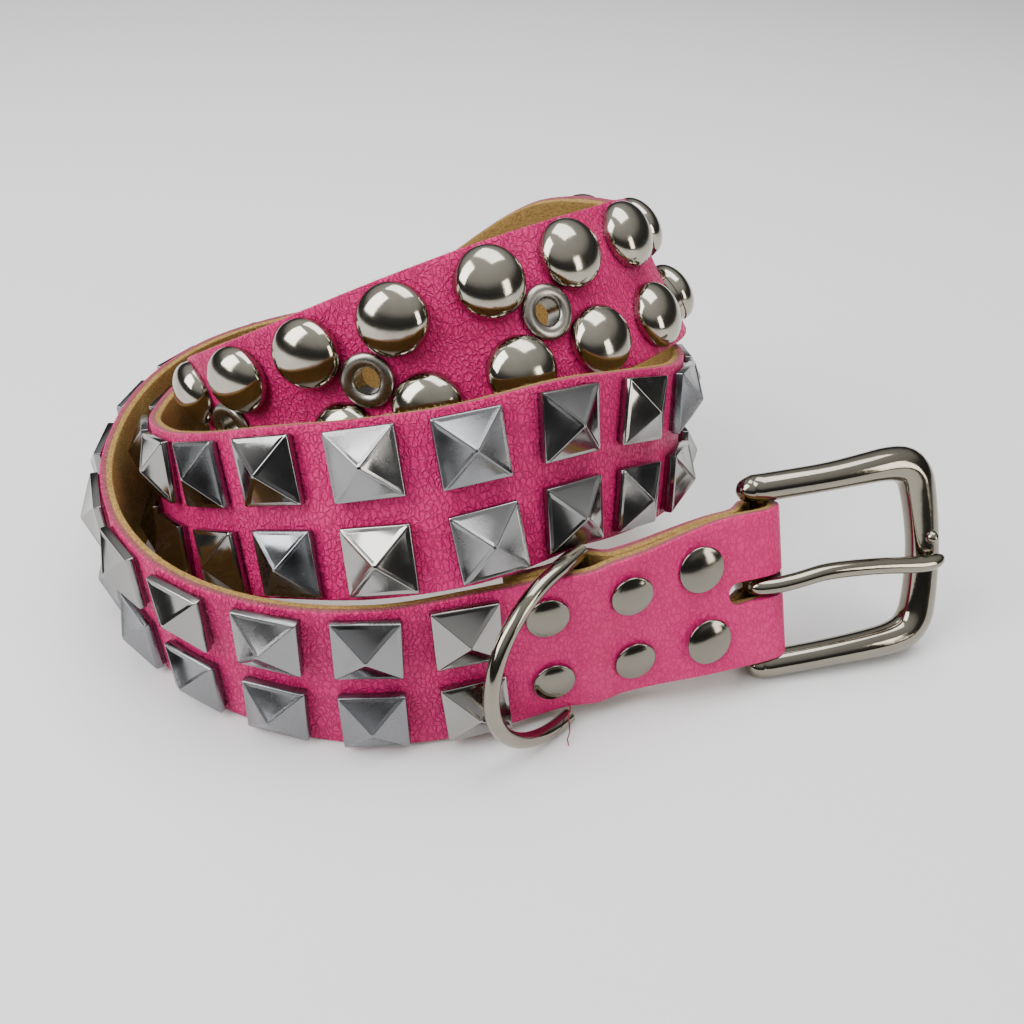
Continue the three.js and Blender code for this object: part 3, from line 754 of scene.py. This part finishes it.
def edge_fibres():
    """Fine suede fibres that stand out of the raw half of both long edges, as thin blades."""
    draw = random.Random("edge_fibres")
    bpy.ops.mesh.primitive_plane_add(size=1)
    fibres = bpy.context.object
    fibres.name = "edge_fibres"
    bpy.ops.object.mode_set(mode="EDIT")
    mesh = bmesh.from_edit_mesh(fibres.data)
    bmesh.ops.delete(mesh, geom=list(mesh.verts), context="VERTS")
    for _ in range(FIBRE_COUNT):
        x = draw.uniform(-FOLD_BACK_LENGTH, STRAP_LENGTH - TIP_LENGTH)
        side = draw.choice((-1, 1))
        depth = -STRAP_THICKNESS * draw.uniform(0.35, 0.98)
        reach = FIBRE_LENGTH * draw.uniform(0.3, 1) ** 1.5
        drift = draw.uniform(-0.9, 0.9) * reach
        dip = draw.uniform(-0.5, 0.3) * reach
        row = []
        for share in (0, 0.5, 1):
            along = x + drift * share ** 1.5
            spread = reach * share * (1 - 0.25 * share)
            across = side * (STRAP_WIDTH / 2 - FIBRE_ROOT + spread)
            height = depth + dip * share * share
            point = laid((along, across, height))
            half = FIBRE_WIDTH / 2 * (1 - 0.85 * share)
            step = laid((along + half, across, height)) - point
            point.z = max(point.z, FIBRE_WIDTH)
            row.append((mesh.verts.new(point - step), mesh.verts.new(point + step)))
        for (a, b), (c, d) in zip(row, row[1:]):
            mesh.faces.new((a, b, d, c))
    bmesh.update_edit_mesh(fibres.data)
    bpy.ops.object.mode_set(mode="OBJECT")
    paint = Paint("suede_fibre")
    tone = paint.noise(paint.place(), 60.0, 2.0)
    shade = paint.mix(tone.ramp(0.4, 0.6), colour(214, 186, 140), colour(170, 128, 84))
    material = paint.surface(Base_Color=shade, Roughness=0.9)
    dress(fibres, material, "strap", "pink_leather", "studded_strap")


# Pyramids and domes

def pyramid_model():
    """A pressed pyramid: walls narrower at the foot, facets a little sunk between round ridges."""
    height = STUD_WALL - STUD_FOOT
    bpy.ops.mesh.primitive_cube_add(size=1, location=(0, 0, STUD_FOOT + height / 2))
    stud = bpy.context.object
    stud.scale = (STUD_SIZE, STUD_SIZE, height)
    apply_place(stud)
    bpy.ops.object.mode_set(mode="EDIT")
    pick(stud, lambda middle, normal: normal.z < -0.9)
    bpy.ops.mesh.inset(thickness=STUD_UNDERCUT)
    seat = -STUD_FOOT - STUD_SEAT
    bpy.ops.mesh.extrude_region_move(TRANSFORM_OT_translate={"value": (0, 0, seat)})
    bpy.ops.object.mode_set(mode="OBJECT")
    bpy.ops.object.mode_set(mode="EDIT")
    pick(stud, lambda middle, normal: normal.z > 0.9)
    rise = STUD_HEIGHT - STUD_WALL
    bpy.ops.mesh.extrude_region_move(TRANSFORM_OT_translate={"value": (0, 0, rise)})
    bpy.ops.transform.resize(value=(STUD_CROWN, STUD_CROWN, 1))
    pick(stud, lambda middle, normal: 0.3 < normal.z < 0.97)
    bpy.ops.mesh.inset(thickness=RIDGE_WIDTH, depth=-FACET_SINK, use_individual=True)
    bpy.ops.object.mode_set(mode="OBJECT")
    rounding = stud.modifiers.new("rounding", "BEVEL")
    rounding.width = RIDGE_ROUND
    rounding.segments = 3
    rounding.limit_method = "ANGLE"
    rounding.angle_limit = math.radians(20)
    finish_modifiers(stud)
    smooth(stud, 40)
    return stud


def dome_model():
    """A pressed dome on a short straight rim, narrower at its foot."""
    radius = DOME_DIAMETER / 2
    rise = STUD_HEIGHT - DOME_RIM
    foot = radius - STUD_UNDERCUT
    profile = [(0, -STUD_SEAT), (foot, -STUD_SEAT), (foot, 0.8 * STUD_FOOT), (radius, STUD_FOOT)]
    profile.append((radius, DOME_RIM))
    steps = 12
    for i in range(1, steps + 1):
        a = math.pi / 2 * i / steps
        profile.append((radius * math.cos(a) if i < steps else 0, DOME_RIM + rise * math.sin(a)))
    dome = turned("dome", profile, 40)
    smooth(dome, 50)
    return dome


def stud_places(name, first, columns):
    """Two rows of studs, each set by hand: a little turned and a little tilted."""
    draw = random.Random(name)
    places = []
    for i in range(columns):
        for across in (STUD_ROW_SPACING / 2, -STUD_ROW_SPACING / 2):
            sway = Matrix.Rotation(math.radians(draw.uniform(-1.8, 1.8)), 4, "Z")
            tilt = Matrix.Rotation(math.radians(draw.uniform(-1.2, 1.2)), 4, "Y")
            seat = Matrix.Translation((draw.uniform(-0.25, 0.25) * MM, across, 0))
            places.append(strap_frame(first + STUD_PITCH * i) @ seat @ sway @ tilt)
    return places


def studs():
    places = stud_places("pyramid_studs", FIRST_STUD, pyramid_columns)
    pyramids = copies_laid("pyramid_studs", pyramid_model(), places)
    dress(pyramids, stud_metal, "strap", "polished_nickel", "studded_strap")
    places = stud_places("dome_studs", first_dome, DOME_COLUMNS)
    domes = copies_laid("dome_studs", dome_model(), places)
    dress(domes, dome_metal, "strap", "polished_nickel", "studded_strap")


# Eyelets and rivets

def reach_of(node, place):
    """Lowest and highest point of a CAD node along the Z of a place."""
    inverse = place.inverted()
    heights = [(inverse @ vert.co).z for vert in frame["nodes"][node].data.vertices]
    return min(heights), max(heights)


def eyelets():
    """Rolled flange on the face, tube through the leather, thinner flange behind."""
    hole = EYELET_HOLE / 2
    flange = EYELET_FLANGE / 2
    back = EYELET_BACK_FLANGE / 2
    for i, s in enumerate(eyelet_places()):
        node = f"eyelet_{i + 1}"
        place = strap_frame(s)
        low, high = reach_of(node, place)
        seat = high - EYELET_ROLL
        middle = (hole + flange) / 2
        half = (flange - hole) / 2
        profile = [(flange - 0.12 * half, seat - 0.25 * MM), (flange, seat)]
        for step in range(1, 12):
            a = math.pi * step / 12
            profile.append((middle + half * math.cos(a), seat + EYELET_ROLL * math.sin(a) ** 0.8))
        profile += [(hole, seat), (hole, low), (back, low), (back, low + 0.5 * MM)]
        profile += [(hole + EYELET_WALL, low + 0.8 * MM), (hole + EYELET_WALL, seat - 0.25 * MM)]
        profile.append(profile[0])
        piece = turned(f"{node}_rolled", profile, 48)
        piece.data.transform(place)
        smooth(piece, 40)
        dress(piece, eyelet_metal, "strap", "satin_nickel", node)


def rivets():
    """Low cap with a rounded rim on the face, shaft through both layers, flat cap behind."""
    number = 0
    for pair in RIVET_PAIRS:
        for across in (RIVET_ROW_SPACING / 2, -RIVET_ROW_SPACING / 2):
            number += 1
            node = f"rivet_{number}"
            place = strap_frame(pair.from_bar) @ Matrix.Translation((0, across, 0))
            low, high = reach_of(node, place)
            seat = high - RIVET_CAP_HEIGHT
            cap = pair.cap / 2
            back = RIVET_BACK_CAP / 2
            shaft = RIVET_SHAFT / 2
            inner = low + RIVET_CAP_HEIGHT / 2
            profile = [(0, low), (0.85 * back, low), (back, low + 0.25 * MM), (back, inner)]
            profile += [(shaft, inner), (shaft, seat), (0.94 * cap, seat - 0.2 * MM)]
            profile.append((cap, seat + RIVET_RIM_LOW))
            for step in range(1, 5):
                a = math.pi / 2 * step / 4
                rim = RIVET_RIM + (1 - RIVET_RIM) * math.cos(a)
                profile.append((rim * cap, seat + RIVET_RIM_LOW + RIVET_RIM_RISE * math.sin(a)))
            crown = RIVET_CAP_HEIGHT - RIVET_RIM_LOW - RIVET_RIM_RISE
            for step in range(1, 9):
                share = 1 - step / 8
                profile.append((RIVET_RIM * cap * share, high - crown * share ** 2.4))
            piece = turned(f"{node}_cap", profile, 48)
            piece.data.transform(place)
            smooth(piece, 40)
            dress(piece, cap_metal, "strap", "satin_nickel", node)


# Buckle and ring

def between(rows, steps):
    """Rows of numbers with smooth rows added between them."""
    made = []
    for i in range(len(rows) - 1):
        a, b = rows[i], rows[i + 1]
        before, after = rows[max(i - 1, 0)], rows[min(i + 2, len(rows) - 1)]
        for step in range(steps):
            x = step / steps
            row = []
            for p, q, r, s in zip(before, a, b, after):
                rise = (r - p) / 2 * x * (1 - x) ** 2 - (s - q) / 2 * x * x * (1 - x)
                blend = x * x * (3 - 2 * x)
                row.append(q * (1 - blend) + r * blend + rise)
            made.append(row)
    made.append(list(rows[-1]))
    return made


# forward: distance from the heel bar, as a share of FRAME_REACH
# across: distance from the middle line, as a share of the arm's own distance
# wide, thick: the section in the frame's plane and square to it, as shares of FRAME_ARM
FrameRow = namedtuple("FrameRow", "forward across wide thick")
FRAME_SECTIONS = [
    FrameRow(-0.01, 1.00, 1.00, 0.96),
    FrameRow(0.20, 1.00, 1.00, 0.98),
    FrameRow(0.42, 1.00, 1.02, 1.02),
    FrameRow(0.62, 1.01, 1.12, 1.08),
    FrameRow(0.77, 1.01, 1.22, 1.12),
    FrameRow(0.88, 0.96, 1.32, 1.15),
    FrameRow(0.945, 0.82, 1.32, 1.15),
    FrameRow(0.972, 0.62, 1.26, 1.13),
    FrameRow(0.990, 0.34, 1.21, 1.11),
]
END_BAR = FrameRow(1, 0, 1.19, 1.1)
arm_place = STRAP_WIDTH / 2 + FRAME_SIDE_GAP + FRAME_ARM / 2
heel_place = strap_frame(0) @ Matrix.Translation((0, 0, -fold_radius))
bar_frame = heel_place @ Matrix.Rotation(-math.radians(FRAME_RISE), 4, "Y")


def mirrored(row):
    return row._replace(across=-row.across)


def buckle_frame():
    """Cast frame: arms that thicken to round corners, an end bar with a nub, and the heel bar."""
    tail = []
    for i in range(6):
        x = 1 - i / 6
        girth = 0.96 * math.sqrt(1 - 0.96 * x * x)
        tail.append(FrameRow(-FRAME_TAIL * x / FRAME_REACH, 1, girth, girth))
    arms = [*FRAME_SECTIONS, END_BAR]
    arms += [mirrored(row) for row in reversed(FRAME_SECTIONS)]
    out = Vector((0, 0, 1))
    stations = []
    rows = [*tail, *between(arms, 3), *[mirrored(row) for row in reversed(tail)]]
    for forward, across, wide, thick in rows:
        bow = FRAME_BOW * math.sin(math.pi * min(max(forward, 0), 1))
        middle = Vector((FRAME_REACH * forward, arm_place * across, bow))
        stations.append((middle, out, FRAME_ARM * thick / 2, FRAME_ARM * wide / 2))
    body = drawn("buckle_cast_frame", stations, 24)
    bpy.ops.mesh.primitive_cylinder_add(
        vertices=24, radius=HEEL_BAR / 2, depth=2 * arm_place, rotation=(math.pi / 2, 0, 0))
    bar = bpy.context.object
    apply_place(bar)
    bpy.ops.mesh.primitive_uv_sphere_add(
        segments=20, ring_count=12, radius=NUB_RADIUS,
        location=(FRAME_REACH, NUB_ACROSS, FRAME_ARM * END_BAR.thick / 2 - NUB_SINK))
    nub = bpy.context.object
    apply_place(nub)
    for part in (bar, nub):
        joint = body.modifiers.new(part.name, "BOOLEAN")
        joint.object = part
        joint.operation = "UNION"
        joint.solver = "EXACT"
    finish_modifiers(body)
    bpy.data.objects.remove(bar)
    bpy.data.objects.remove(nub)
    body.data.transform(bar_frame)
    smooth(body, 60)
    dress(body, buckle_metal, "frame", "polished_nickel", "buckle_frame")


# forward: distance from the heel bar, as a share of FRAME_REACH
# sway: bend along the heel bar, as a share of PRONG_SWAY
# bow: height over the straight line between its seats, as a share of PRONG_WIRE
# girth: its section, as a share of PRONG_WIRE
ProngRow = namedtuple("ProngRow", "forward sway bow girth")
PRONG_SECTIONS = [
    ProngRow(-0.095, 0, -0.58, 0.3),
    ProngRow(-0.08, 0, -0.5, 0.72),
    ProngRow(-0.05, 0, -0.25, 0.95),
    ProngRow(0.05, 0, -0.02, 1),
    ProngRow(0.16, 0.4, 0.12, 1),
    ProngRow(0.34, 0.9, 0.12, 1.04),
    ProngRow(0.61, -0.2, 0.05, 1.04),
    ProngRow(0.87, -1.9, 0, 1.04),
    ProngRow(0.97, -2.1, 0, 0.96),
    ProngRow(1.02, -1.75, 0.04, 0.66),
    ProngRow(1.035, -1.6, 0.1, 0.2),
]


def prong():
    """Wire prong: a loop round the heel bar and a shank that rests on the end bar."""
    rest = FRAME_ARM * END_BAR.thick / 2 + CLEARANCE
    stations = []
    for forward, sway, bow, girth in between(PRONG_SECTIONS, 4):
        radius = PRONG_WIRE * girth / 2
        share = min(max(forward, 0), 1)
        line = fold_radius * (1 - share) + (rest + radius) * share
        middle = Vector((FRAME_REACH * forward, PRONG_SWAY * sway, line + PRONG_WIRE * bow))
        stations.append((middle, Vector((0, 1, 0)), radius, radius))
    shank = drawn("prong_wire", stations, 20)
    inner = HEEL_BAR / 2 + 1.3 * CLEARANCE
    half = PRONG_WIRE / 2
    soft = 0.5 * MM
    section = [(inner, -half + soft), (inner + soft, -half), (fold_radius - soft, -half)]
    section += [(fold_radius, -half + soft), (fold_radius, half - soft), (fold_radius - soft, half)]
    section += [(inner + soft, half), (inner, half - soft), (inner, -half + soft)]
    loop = turned("loop", section, 32)
    loop.rotation_euler = (math.pi / 2, 0, 0)
    apply_place(loop)
    joint = shank.modifiers.new("loop", "BOOLEAN")
    joint.object = loop
    joint.operation = "UNION"
    joint.solver = "EXACT"
    finish_modifiers(shank)
    bpy.data.objects.remove(loop)
    shank.data.transform(bar_frame)
    smooth(shank, 50)
    dress(shank, buckle_metal, "prong", "polished_nickel", "prong")


def d_ring():
    """Wire ring on its straight bar."""
    half_bar = (STRAP_WIDTH + RING_WIRE) / 2 + RING_SIDE_GAP
    middles = [Vector((0, y * half_bar, 0)) for y in (-1, -0.75, -0.5, 0, 0.5, 0.75, 1)]
    steps = 48
    for i in range(steps + 1):
        a = math.pi / 2 - math.pi * i / steps
        x = RING_STRAIGHT + (RING_REACH - RING_STRAIGHT) * math.cos(a)
        middles.append(Vector((x, half_bar * math.sin(a), 0)))
    half = RING_WIRE / 2
    out = Vector((0, 0, 1))
    ring = drawn("d_ring_wire", [(middle, out, half, half) for middle in middles], 20, True)
    depth = RING_BULGE - STRAP_THICKNESS - layer_gap(ring_place) / 2
    turn = Matrix.Rotation(math.pi + math.radians(RING_ANGLE), 4, "Y")
    ring.data.transform(strap_frame(ring_place) @ Matrix.Translation((0, 0, depth)) @ turn)
    smooth(ring, 60)
    dress(ring, buckle_metal, "ring", "polished_nickel", "d_ring")


# Camera, light and floor

CAMERA_FROM_AXIS = Vector((33.15, -218.4, 182.8)) * MM
CAMERA_DOWN = 39.31
CAMERA_ROLL = 2.96
CAMERA_LENS = 31.64
CAMERA_SENSOR = 36


def camera():
    data = bpy.data.cameras.new("camera")
    data.lens = CAMERA_LENS
    data.sensor_width = CAMERA_SENSOR
    data.clip_start = 0.01
    eye = bpy.data.objects.new("camera", data)
    bpy.context.collection.objects.link(eye)
    down = Matrix.Rotation(math.radians(90 - CAMERA_DOWN), 4, "X")
    roll = Matrix.Rotation(math.radians(CAMERA_ROLL), 4, "Z")
    eye.matrix_world = Matrix.Translation(coil_axis + CAMERA_FROM_AXIS) @ down @ roll
    bpy.context.scene.camera = eye


def soft_box(name, place, aim, width, height, power, tint=(1, 1, 1)):
    data = bpy.data.lights.new(name, "AREA")
    data.shape = "RECTANGLE"
    data.size = width
    data.size_y = height
    data.energy = power
    data.color = tint
    box = bpy.data.objects.new(name, data)
    bpy.context.collection.objects.link(box)
    box.location = place
    box.rotation_euler = (Vector(aim) - Vector(place)).to_track_quat("-Z", "Y").to_euler()


def floor():
    bpy.ops.mesh.primitive_plane_add(size=4, location=(0, 0, 0))
    ground = bpy.context.object
    ground.name = "floor"
    paint = Paint("pale_floor")
    ground.data.materials.append(paint.surface(Base_Color=(0.8, 0.8, 0.8, 1), Roughness=0.7))


def room():
    """A dim room round the horizon under a bright ceiling, seen in the metal."""
    world = bpy.data.worlds.new("room")
    world.use_nodes = True
    bpy.context.scene.world = world
    tree = world.node_tree
    tree.nodes.clear()
    direction = tree.nodes.new("ShaderNodeTexCoord")
    split = tree.nodes.new("ShaderNodeSeparateXYZ")
    tree.links.new(direction.outputs["Generated"], split.inputs[0])
    bands = tree.nodes.new("ShaderNodeValToRGB")
    tree.links.new(split.outputs["Z"], bands.inputs[0])
    stops = [(0.0, 0.1), (0.12, 0.05), (0.34, 0.1), (0.55, 0.5), (1.0, 0.85)]
    ramp = bands.color_ramp
    for position, _ in stops[2:]:
        ramp.elements.new(position)
    for element, (position, level) in zip(ramp.elements, stops):
        element.position = position
        element.color = (level, level, level, 1)
    background = tree.nodes.new("ShaderNodeBackground")
    tree.links.new(bands.outputs[0], background.inputs[0])
    output = tree.nodes.new("ShaderNodeOutputWorld")
    tree.links.new(background.outputs[0], output.inputs[0])


camera()
floor()
room()
soft_box("window", (-0.7, -0.35, 0.75), (0, 0, 0.05), 0.6, 0.9, 14)
soft_box("ceiling", (0.15, 0.25, 1.1), (0, 0, 0.05), 1.0, 0.7, 12)
soft_box("side", (0.9, -0.5, 0.35), (0, 0, 0.05), 0.25, 0.5, 3, (1.0, 0.94, 0.86))

strap_leather()
loose_thread()
edge_fibres()
studs()
eyelets()
rivets()
buckle_frame()
prong()
d_ring()
